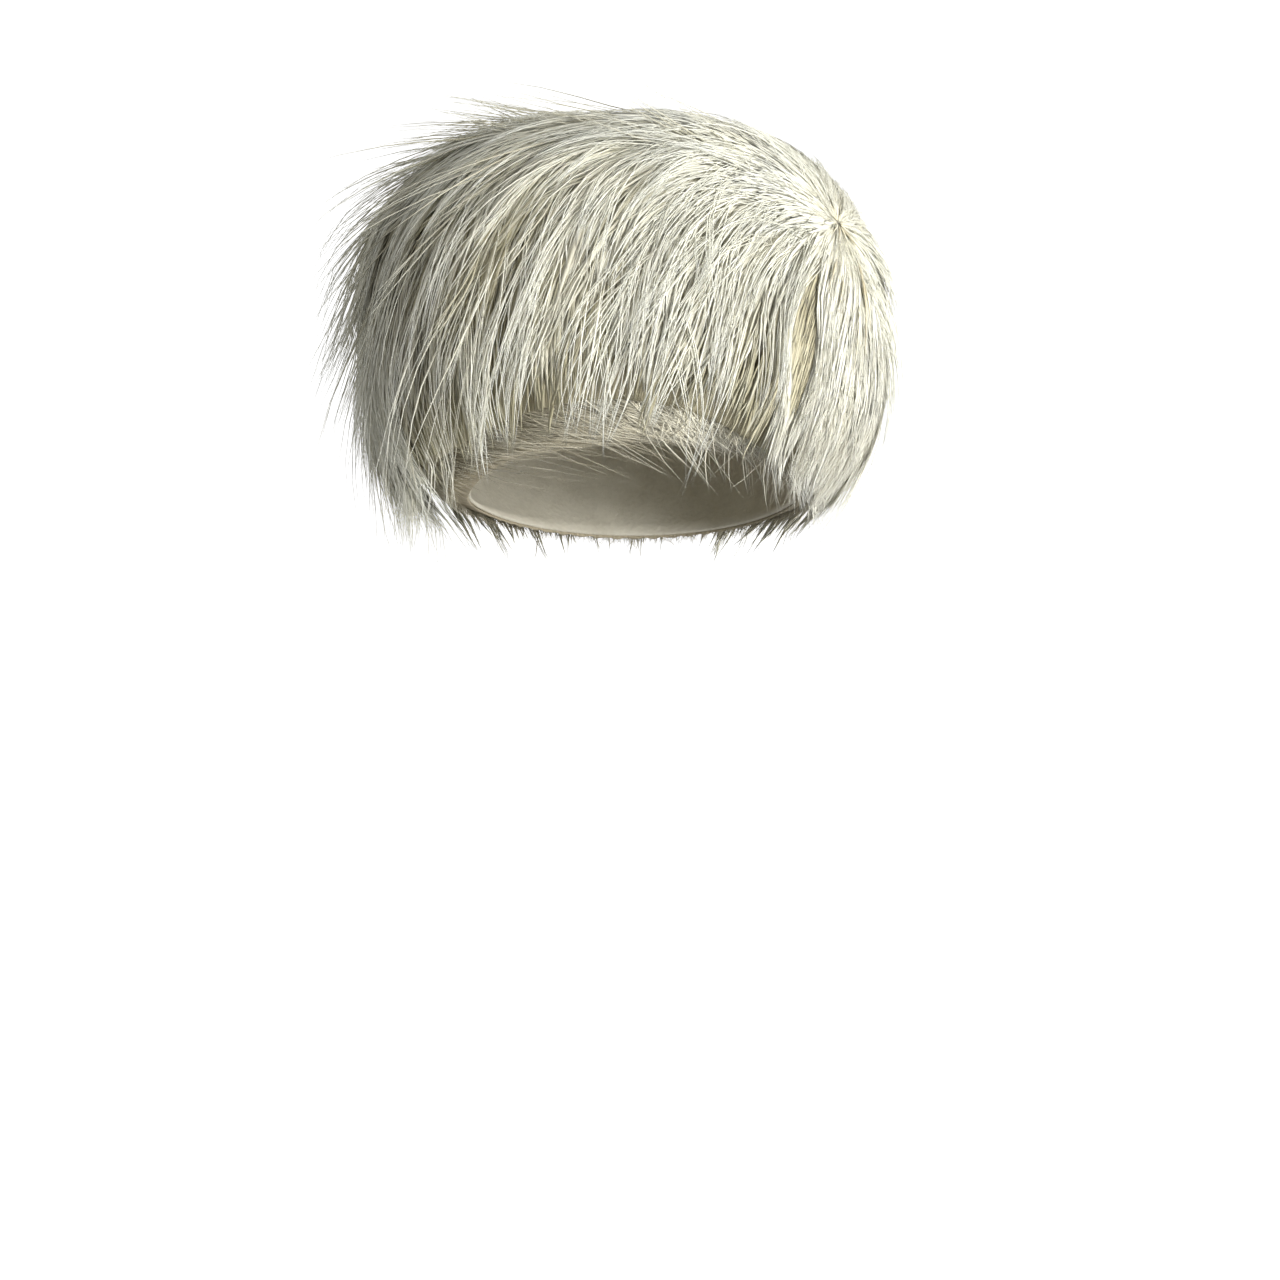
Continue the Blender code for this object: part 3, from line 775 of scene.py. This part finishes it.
# Broad soft vanes lie lowest, then a loose cover of strands, and bright pointed bunches over both; the lower
# layers are toned darker, painted shade under the higher ones. A pair of values is a range, a single one a
# spread or fixed. Tones run from 0, shaded, to 1, bright; shares are parts of a line from the whorl to the
# hem; angles are in degrees.
vanes = {
    "bundles": 0.80, "strands": 5, "steps": 7,  # bundles to a square centimetre, strands, and their points
    "turns": (-180, 180), "shares": (0.03, 1.03), "hang": (0.0, 0.4),  # where the tips lie, and past the hem
    "thin": (  # thinner places: turn, share, reach, and how much of the cover goes there
        (-85.5, 0.74, 0.011, 0.95), (-80.5, 0.81, 0.010, 0.9), (-76.5, 0.73, 0.010, 0.9),
        (-84.5, 0.91, 0.008, 0.8), (-92.0, 0.84, 0.008, 0.8),
    ),
    "length": (0.045, 0.085), "least": 0.012, "stagger": 0.006, "whorlGap": 0.008,
    "halfWidth": (0.0010, 0.0021), "blunt": 0.35, "thickness": 0.16, "twist": 0.12, "barbs": 0.014,
    "tone": (0.28, 0.48), "toneSpread": 0.04, "toneJitter": 0.06,
    # painted shade taken from the tone in folds and at the front left, and tone added round the whorl
    "foldShade": 40.0, "whorlBright": 0.42, "shaded": 0.34,
    "lift": (-0.0035, -0.0015), "liftJitter": 0.0004, "rootDepth": 0.003,  # heights over the coat
    "straight": (0.0, 0.1), "roundness": 0.13, "flare": (0.0, 0.0), "droop": (0.0, 0.10),
    "bundleWidth": (0.004, 0.008), "gather": (0.0, 0.6),  # 0 keeps a bundle's width, 1 brings it to a point
    "slant": 0.0, "lean": 6.0, "strandLean": 5.0, "bow": 0.12, "opens": 1.0, "partingCalm": 22.0,
}
cover = dict(
    vanes, bundles=0.42, strands=7, length=(0.040, 0.080), tone=(0.28, 0.66), toneJitter=0.07,
    lift=(-0.0022, -0.0004), straight=(0.0, 0.2), gather=(0.3, 1.0), bundleWidth=(0.002, 0.008), lean=9.0,
    strandLean=4.0, bow=0.16, droop=(0.0, 0.18), halfWidth=(0.0005, 0.0012), blunt=0.2, thickness=0.2,
    barbs=0.006, whorlBright=0.40, whorlGap=0.045,
)
bunches = dict(
    cover, bundles=0.32, strands=8, length=(0.045, 0.100), shares=(0.08, 1.06), stagger=0.003,
    tone=(0.88, 1.0), toneJitter=0.05, foldShade=10.0, shaded=0.0, lift=(0.0005, 0.0055),
    straight=(0.0, 0.3), gather=(0.80, 1.10), bundleWidth=(0.0030, 0.0095), strandLean=2.5, bow=0.22,
    droop=(0.0, 0.25), halfWidth=(0.00026, 0.00046), thickness=0.8, twist=0.35, rootDepth=0.0015,
    thin=(), whorlBright=0.0, whorlGap=0.055, barbs=0.004,
)
hemCover = dict(  # darker strands low down, which close the gaps above the hem
    cover, bundles=1.0, length=(0.025, 0.050), shares=(0.70, 1.02), tone=(-0.35, 0.30),
    lift=(-0.0028, -0.0014), lean=6.0, thin=(),
)
spikes = dict(  # stiffer bundles that stand off the left side
    bunches, strands=5, length=(0.045, 0.085), straight=(0.1, 0.8), lift=(0.001, 0.004), flare=(0.05, 0.50),
    slant=4.0, tone=(0.20, 0.90), bundleWidth=(0.0020, 0.0050), halfWidth=(0.00030, 0.00058),
)
tips = dict(  # hanging ends below the hem
    bunches, bundles=0.9, strands=6, length=(0.050, 0.085), shares=(0.90, 1.09), hang=(0.5, 1.0),
    tone=(0.4, 1.0), droop=(0.0, 0.2), gather=(0.8, 1.05), lean=10.0, bundleWidth=(0.003, 0.008),
    flare=(0.0, 0.15),
)
# The crown's strands are toned darker than the others: painted shade on the top of the hat.
crownVanes = dict(vanes, length=(0.055, 0.095), tone=(0.02, 0.20), bow=0.08)
crownCover = dict(cover, length=(0.050, 0.095), tone=(-0.02, 0.30), bow=0.10, lean=6.0)
crownBunches = dict(
    bunches, bundles=0.20, tone=(0.50, 0.90), straight=(0.0, 0.08), lift=(0.0, 0.0020), lean=5.0, bow=0.12,
)
strays = dict(  # single wisps over the top left
    spikes, bundles=0.07, strands=2, turns=(-152, -136), shares=(0.40, 0.54), length=(0.040, 0.070),
    halfWidth=(0.00022, 0.00035),
)
panelVanes = dict(
    vanes, bundles=1.0, length=(0.06, 0.11), shares=(0.03, 1.05), hang=(0.4, 1.0), tone=(0.66, 0.88),
    lean=2.0, strandLean=2.0, bow=0.06, gather=(-0.2, 0.3), blunt=0.5, lift=(-0.0024, -0.001),
    whorlBright=0.0, foldShade=20.0,
)
panelStrands = dict(
    cover, bundles=0.6, length=(0.04, 0.10), shares=(0.03, 1.06), hang=(0.5, 1.0), tone=(0.65, 0.95),
    lean=3.0, strandLean=3.0, bow=0.14, lift=(-0.001, 0.0004), straight=(0.0, 0.1), droop=(0.0, 0.05),
    gather=(0.0, 0.8), whorlBright=0.0, foldShade=20.0,
)
partingShadeDown = dict(  # short dark strands at the bottom of the parting, which don't open over it: painted shade in its groove
    panelVanes, bundles=5.0, shares=(0.25, 1.0), length=(0.025, 0.060), opens=0.0, tone=(-0.40, 0.00),
    lift=(-0.0035, -0.0020), rootDepth=0.001, bundleWidth=(0.001, 0.003), halfWidth=(0.0003, 0.0009),
    lean=4.0, strandLean=4.0, bow=0.12, foldShade=0.0,
)
whorlVanes = dict(  # pale vanes on the coat beside the whorl
    panelVanes, bundles=1.1, turns=(-125, -42), shares=(0.10, 0.36), length=(0.030, 0.060),
    tone=(0.74, 0.95), lift=(0.0002, 0.0012), liftJitter=0.0002, rootDepth=0.0012,
    halfWidth=(0.0009, 0.0020), thickness=0.14, lean=5.0, strandLean=4.0, bow=0.10, whorlGap=0.012,
)
fluff = dict(  # fine curled barbs
    bunches, bundles=1.2, strands=7, length=(0.015, 0.035), shares=(0.10, 1.06), hang=(0.5, 1.0),
    tone=(0.75, 1.0), lift=(0.0, 0.004), straight=(0.0, 0.6), gather=(-0.5, 0.5), lean=18.0,
    strandLean=14.0, bow=0.8, halfWidth=(0.00012, 0.00022), bundleWidth=(0.001, 0.003), whorlGap=0.010,
)
ivory = featherFinish("ivory feather", featherLook)
creamy = featherFinish("creamy panel feather", panelLook)


def across(first, last, *layers):
    # the same layers between two turns
    return [dict(layer, turns=(first, last)) for layer in layers]


# name, finish, seed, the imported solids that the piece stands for, and its layers
longFeathers = (
    ("front_sweep_feathers", ivory, 11, (
        "front_sweep_left", "front_sweep_right", "front_parting_lock",
    ), across(
        -83, -22,
        dict(vanes, bundles=1.2, shares=(0.03, 0.97), whorlBright=0.66),
        dict(cover, tone=(0.34, 0.76), lift=(-0.0018, -0.0006), shares=(0.03, 0.97), whorlBright=0.60),
        dict(bunches, bundles=0.46, shares=(0.08, 1.09), hang=(0.0, 0.3), lift=(0.0002, 0.0036), lean=10.0,
             halfWidth=(0.00024, 0.00042)),
        hemCover,
    )),
    ("front_left_feathers", ivory, 12, ("front_left_lock", "left_front_lock"), across(
        -126, -83,
        dict(vanes, shares=(0.03, 0.94)),
        dict(cover, shares=(0.03, 0.96)),
        dict(bunches, bundles=0.28),
        dict(spikes, bundles=0.12, shares=(0.3, 1.06)),
        dict(tips, bundles=0.6, shaded=0.2),
        dict(hemCover, bundles=0.8),
    )),
    ("left_feathers", ivory, 13, ("left_lock", "left_back_lock"), across(
        -174, -126,
        vanes,
        cover,
        dict(bunches, bundles=0.20, lift=(0.0, 0.004), straight=(0.0, 0.15)),
        dict(spikes, shares=(0.42, 1.06)),
        tips,
    ) + [strays]),
    ("crown_left_feathers", ivory, 14, ("crown_left_lock", "left_back_lock"), across(
        147, 186, crownVanes, crownCover, crownBunches,
    )),
    ("crown_back_feathers", ivory, 17, ("crown_back_lock", "back_left_lock"), across(
        107, 147, crownVanes, crownCover, crownBunches,
    )),
    ("back_feathers", ivory, 15, ("back_lock", "back_right_lock", "right_back_lock"), across(
        32, 107,
        vanes,
        cover,
        dict(bunches, bundles=0.24),
        dict(hemCover, shares=(0.55, 1.03), tone=(0.1, 0.5)),
    )),
    ("right_panel_feathers", creamy, 16, ("right_front_lock", "right_lock"), [
        dict(partingShadeDown, turns=(-28, -18)),
        dict(hemCover, turns=(12, 36), shares=(0.5, 1.03), tone=(0.1, 0.5)),
    ] + across(
        -22, 32,
        panelVanes,
        panelStrands,
        fluff,
        dict(fluff, bundles=2.0, shares=(0.80, 1.09), lean=28.0, halfWidth=(0.00015, 0.00028)),
    )),
    ("whorl_down", creamy, 18, (), [
        dict(fluff, bundles=3.0, turns=(-180, 180), shares=(0.0, 0.11), whorlGap=0.004),
        whorlVanes,
    ]),
)
for name, finish, seed, nodes, layers in longFeathers:
    featherPiece(flow, name, finish, nodes, seed, layers)

print("stage: under the edge")
underBed = {
    "around": 160, "down": 12,
    "top": -3.0, "past": 0.5,  # elevation of its top, and degrees past the felt's edge
    "lift": (0.0012, 0.0032),  # height over the felt at its ends, and how much more between them
    "swellPower": 0.4,  # the smaller, the fuller between them
    "innerLift": 0.0004,  # height of its inner face
    "ripples": ((0.0005, 60, 9), (0.0004, 97, -7)),  # height, waves round, and drift down the band
}


def underDown(make, finish):
    # a closed band of down over the felt's underside, which stands off by a power of a sine of the share
    # down, with ripples that are sines of the azimuth
    azimuths = np.arange(make["around"]) * 360 / make["around"]
    share = np.linspace(0, 1, make["down"] + 1)[:, None]
    low = edgeElevation(azimuths) - make["past"]
    elevation = make["top"] + (low - make["top"]) * share
    wide = np.broadcast_to(azimuths, elevation.shape)
    near, far = make["lift"]
    height = near + far * np.sin(np.pi * share) ** make["swellPower"]
    for high, waves, drift in make["ripples"]:
        height = height + high * np.sin(np.radians(wide) * waves + drift * share)
    outer = place(wide, elevation, feltRadius(wide, elevation) + height)
    inner = place(wide, elevation, feltRadius(wide, elevation) + make["innerLift"])
    rings = np.concatenate([outer, inner[::-1]])
    quads, places = ringFaces(rings, closed=True)
    places[:, 1] /= len(rings)
    finishPiece(addMesh("under_down", rings.reshape(-1, 3), [quads], places), finish, ())


underDown(underBed, downFinish("beige down", dict(
    downLook, dark=colour(0.27, 0.225, 0.14), bright=colour(0.60, 0.53, 0.385),
    streaks=(300.0, 8.0, 1.0), bump=0.6,
)))

underRuns = {
    "count": 6200, "steps": 6,
    "start": (4.0, -22.0), "past": (-0.010, 0.004),  # elevation of the roots, and length past the felt's edge
    "wisps": 0.06, "wispPast": (0.006, 0.024), "wispWidth": 0.6,  # the few that go further
    "lift": (0.0025, 0.0075), "rootLift": (0.25, 1.0), "clear": 0.0008,  # heights, less at the root
    "outward": 0.008,  # how far out their lengths are measured
    "slopeOver": 2, "facingDown": 20,  # degrees over which the slope is taken, and that strands face down
    "drift": 36.0, "driftAt": 236.0, "driftWidth": 42.0, "driftSpread": 9.0, "driftEnds": (-0.4, 0.8),
    "halfWidth": (0.00035, 0.0008), "blunt": 0.3, "thickness": 0.5, "barbs": 0.004,
    "hangTurn": 0.010, "curl": 0.0035,  # length over which a wisp turns down, and how much strands curl
    # tone: its range, how much painted shade darkens the lower strands, and the painted light at the front
    # right
    "tone": (-0.55, 0.60), "toneByHeight": 0.6, "paleAt": 304.0, "paleWidth": 34.0, "pale": 1.5,
}


def underFeathers(make, finish, nodes):
    # Strands follow the felt down to its edge, and most end about there. A wisp goes on past it, and turns
    # from the felt's slope to hang straight by its length past the edge over that length plus a constant.
    # Most wisps are in front. Strands drift round the edge by a bell curve of azimuth, and another paints
    # light on them at the front right. Lower strands are toned darker: painted shade.
    rng = np.random.default_rng(21)
    n = make["count"]
    t = np.linspace(0, 1, make["steps"])[None, :]
    azimuth = rng.uniform(0, 360, n)
    near = (azimuth - make["driftAt"] + 180) % 360 - 180
    drift = make["drift"] * bell(near, make["driftWidth"]) + rng.normal(0, make["driftSpread"], n)
    around = azimuth[:, None] + drift[:, None] * between(make["driftEnds"], t**2)
    start = between(make["start"], rng.random(n))[:, None] + 0 * t
    inFront = 0.5 - 0.5 * np.sin(np.radians(azimuth))
    wisp = rng.random(n) < make["wisps"] * inFront
    past = np.where(wisp, between(make["wispPast"], rng.random(n)), between(make["past"], rng.random(n)))
    edge = edgeElevation(around)
    radius = feltRadius(around, edge)
    toEdge = np.radians(start - edge) * (radius + make["outward"])
    gone = (toEdge + past[:, None]) * t
    share = np.clip(gone / toEdge, 0, 1)
    elevation = start + (edge - start) * share
    height = rng.random(n)[:, None]
    lift = between(make["lift"], height) * between(make["rootLift"], share) + make["clear"]
    points = place(around, elevation, feltRadius(around, elevation) + lift)
    over = np.maximum(gone - toEdge, 0)[..., None]
    above = edge + make["slopeOver"]
    slope = unit(place(around, edge, radius) - place(around, above, feltRadius(around, above)))
    turning = over / (over + make["hangTurn"])
    down = np.array([0, 0, -1.0])
    points = points + over * (slope * (1 - turning) + down * turning)
    out = direction(around, 0 * around)
    side = np.cross(out, down)
    curl = rng.normal(0, make["curl"], (n, 2))
    points = points + side * (curl[:, :1] * t**2 + curl[:, 1:] * np.sin(np.pi * t))[..., None]
    facing = direction(around, elevation - make["facingDown"])
    halfWidth = between(make["halfWidth"], rng.random(n))[:, None] * taperOf(t, make["blunt"])
    halfWidth = np.where(wisp[:, None], make["wispWidth"] * halfWidth, halfWidth)
    # painted shade on the lower strands, and painted light at the front right
    byHeight = make["toneByHeight"]
    tones = between(make["tone"], height[:, 0] * byHeight + (1 - byHeight) * rng.random(n))
    tones = tones + make["pale"] * bell(azimuth - make["paleAt"], make["paleWidth"])
    flat, barbs = np.full(n, make["thickness"]), np.full(n, make["barbs"])
    piece = strandMesh("under_feathers", keepInRoom(points), facing, halfWidth, flat, tones, barbs)
    finishPiece(piece, finish, nodes)


underFeathers(underRuns, featherFinish("beige under feather", underLook), (
    "under_feathers_right", "under_feathers_back", "under_feathers_left", "under_feathers_front",
))

print("stage: quills")
quillWhorl = {
    "count": 60, "steps": 8, "start": 0.0010, "reach": (0.006, 0.020), "rise": (-0.0020, 0.0002),
    "arch": 0.0006, "halfWidth": (0.0003, 0.0007), "blunt": 0.2, "thickness": 0.8, "tone": (0.1, 0.95),
    "barbs": 0.004,
    # quills that show in the right panel: turn, share at the start, share at the end, half width, rise
    "panel": (
        (-20.0, 0.22, 0.38, 0.0010, 0.0010), (-13.0, 0.26, 0.42, 0.0006, 0.0008),
        (9.5, 0.12, 0.50, 0.0011, 0.0014), (13.0, 0.20, 0.44, 0.0007, 0.0010),
        (3.0, 0.30, 0.62, 0.0006, 0.0008),
    ),
}
quillLook = dict(
    featherLook,
    rootDark=colour(0.45, 0.38, 0.22), tipDark=colour(0.55, 0.48, 0.32),
    rootBright=colour(0.90, 0.84, 0.62), tipBright=colour(0.94, 0.90, 0.74), roughness=0.35,
)


def whorlQuills(flow, make, finish, nodes):
    # short tapered quills along the flow in every direction from the whorl, and the few longer ones of the
    # right panel, each over the coat by its own height and a half sine
    rng = np.random.default_rng(31)
    n = make["count"]
    turn, first, last, widest, rise = np.array(make["panel"]).T
    turn = np.concatenate([rng.uniform(-180, 180, n), turn])
    line = flow.length(turn[:n])
    first = np.concatenate([make["start"] / line, first])[:, None]
    last = np.concatenate([between(make["reach"], rng.random(n)) / line, last])[:, None]
    rise = np.concatenate([rng.uniform(*make["rise"], n), rise])[:, None]
    widest = np.concatenate([between(make["halfWidth"], rng.random(n)), widest])[:, None]
    t = np.linspace(0, 1, make["steps"])[None, :]
    points, way = onCoat(flow, turn[:, None] + 0 * t, first + (last - first) * t, 0.0)
    paths = points + way * (rise + make["arch"] * np.sin(np.pi * t))[..., None]
    tones = rng.uniform(*make["tone"], len(turn))
    flat, barbs = np.full(len(turn), make["thickness"]), np.full(len(turn), make["barbs"])
    piece = strandMesh("whorl_quills", paths, way, widest * taperOf(t, make["blunt"]), flat, tones, barbs)
    finishPiece(piece, finish, nodes)


whorlQuills(flow, quillWhorl, featherFinish("pale quill", quillLook), ("whorl_knot",))

print("stage: camera and light")
camera = {  # the hat's middle lies at this pixel of the picture, seen from below the rim
    "aim": (0.0, 0.0, 0.0895), "elevation": -12.0, "distance": 1.3, "metresAcross": 0.64,
    "pixel": (632, 320), "picture": 1280, "sensor": 36.0, "clip": (0.05, 50),
}


def placeCamera(make):
    # In front, below the hat's middle by the elevation. It turns by the angles whose tangents are the pixel's
    # distances from the picture's middle over the focal length in pixels.
    data = bpy.data.cameras.new("camera")
    data.sensor_width = make["sensor"]
    data.lens = make["sensor"] * make["distance"] / make["metresAcross"]
    data.clip_start, data.clip_end = make["clip"]
    view = bpy.data.objects.new("camera", data)
    bpy.context.scene.collection.objects.link(view)
    bpy.context.scene.camera = view
    e = math.radians(make["elevation"])
    focal = make["picture"] * make["distance"] / make["metresAcross"]
    right = (make["pixel"][0] - make["picture"] / 2) / focal
    up = (make["picture"] / 2 - make["pixel"][1]) / focal
    back = np.array([0, -math.cos(e), math.sin(e)])
    view.location = np.array(make["aim"]) + back * make["distance"]
    view.rotation_euler = (math.radians(90) - e - math.atan(up), 0, math.atan(right))


placeCamera(camera)

stage = {
    "floorHeight": -0.62, "floorRings": (0.5, 2.0), "floorRadius": 4.0, "wallRadius": 6.5, "wallHeight": 5.0,
    "around": 96, "curve": 16,  # faces round, and rings from the floor to the wall
    "floor": colour(0.9, 0.9, 0.9), "glow": 0.95,
    "backdrop": 1.0, "ambient": 0.25,  # the world as it shows, and as it lights the hat
    "aim": (0, 0, 0.08),
    "lights": (  # name, place, size across and power
        ("key", (2.00, -1.70, 0.18), 1.4, 84.0),
        ("fill", (-1.8, -1.4, 0.3), 1.8, 11.0),
        ("bounce", (1.4, -1.0, -0.50), 1.2, 28.0),
        ("back", (-0.4, 2.4, 0.3), 2.0, 38.0),
    ),
}


def placeStage(make):
    # The floor is flat in the middle, then a quarter of an oval up to its wall. Round lights stand about the
    # hat, and the world is bright behind it and dimmer as a light.
    angle = np.linspace(0, np.pi / 2, make["curve"])
    wide = make["wallRadius"] - make["floorRadius"]
    flat = np.array(make["floorRings"])
    radius = np.concatenate([flat, make["floorRadius"] + wide * np.sin(angle)])
    height = np.concatenate([0 * flat, make["wallHeight"] * (1 - np.cos(angle))]) + make["floorHeight"]
    turn = np.arange(make["around"]) * 2 * np.pi / make["around"]
    rings = np.stack([
        radius[:, None] * np.cos(turn), radius[:, None] * np.sin(turn), height[:, None] + 0 * turn,
    ], -1)
    vertices = np.concatenate([rings.reshape(-1, 3), [[0, 0, make["floorHeight"]]]])
    k = np.arange(make["around"])
    middle = np.stack([0 * k + len(vertices) - 1, k, (k + 1) % make["around"]], -1)
    floor = addMesh("floor", vertices, [ringFaces(rings)[0], middle])
    floor.data.materials.append(Graph(bpy.data.materials.new("pale floor")).finish({
        "Base Color": make["floor"], "Roughness": 0.9,
        "Emission Color": colour(1, 1, 1), "Emission Strength": make["glow"],
    }))
    floor.visible_diffuse = False
    floor.visible_glossy = False
    for name, at, size, power in make["lights"]:
        data = bpy.data.lights.new(name, "AREA")
        data.shape, data.size, data.energy = "DISK", size, power
        light = bpy.data.objects.new(name, data)
        light.location = at
        light.rotation_mode = "QUATERNION"
        light.rotation_quaternion = (Vector(make["aim"]) - Vector(at)).to_track_quat("-Z", "Y")
        bpy.context.scene.collection.objects.link(light)
    world = bpy.data.worlds.new("studio")
    bpy.context.scene.world = world
    g = Graph(world, "Background")
    seen = g.node("ShaderNodeLightPath", output="Is Camera Ray")
    brightness = {"Value": seen, "To Min": make["ambient"], "To Max": make["backdrop"]}
    strength = g.node("ShaderNodeMapRange", brightness)
    g.finish({"Color": colour(1, 1, 1), "Strength": strength})
    bpy.context.scene.view_settings.view_transform = "Standard"


placeStage(stage)

print("stage: sizes")
print("CAD box", [[round(x, 4) for x in c] for c in cadBox])
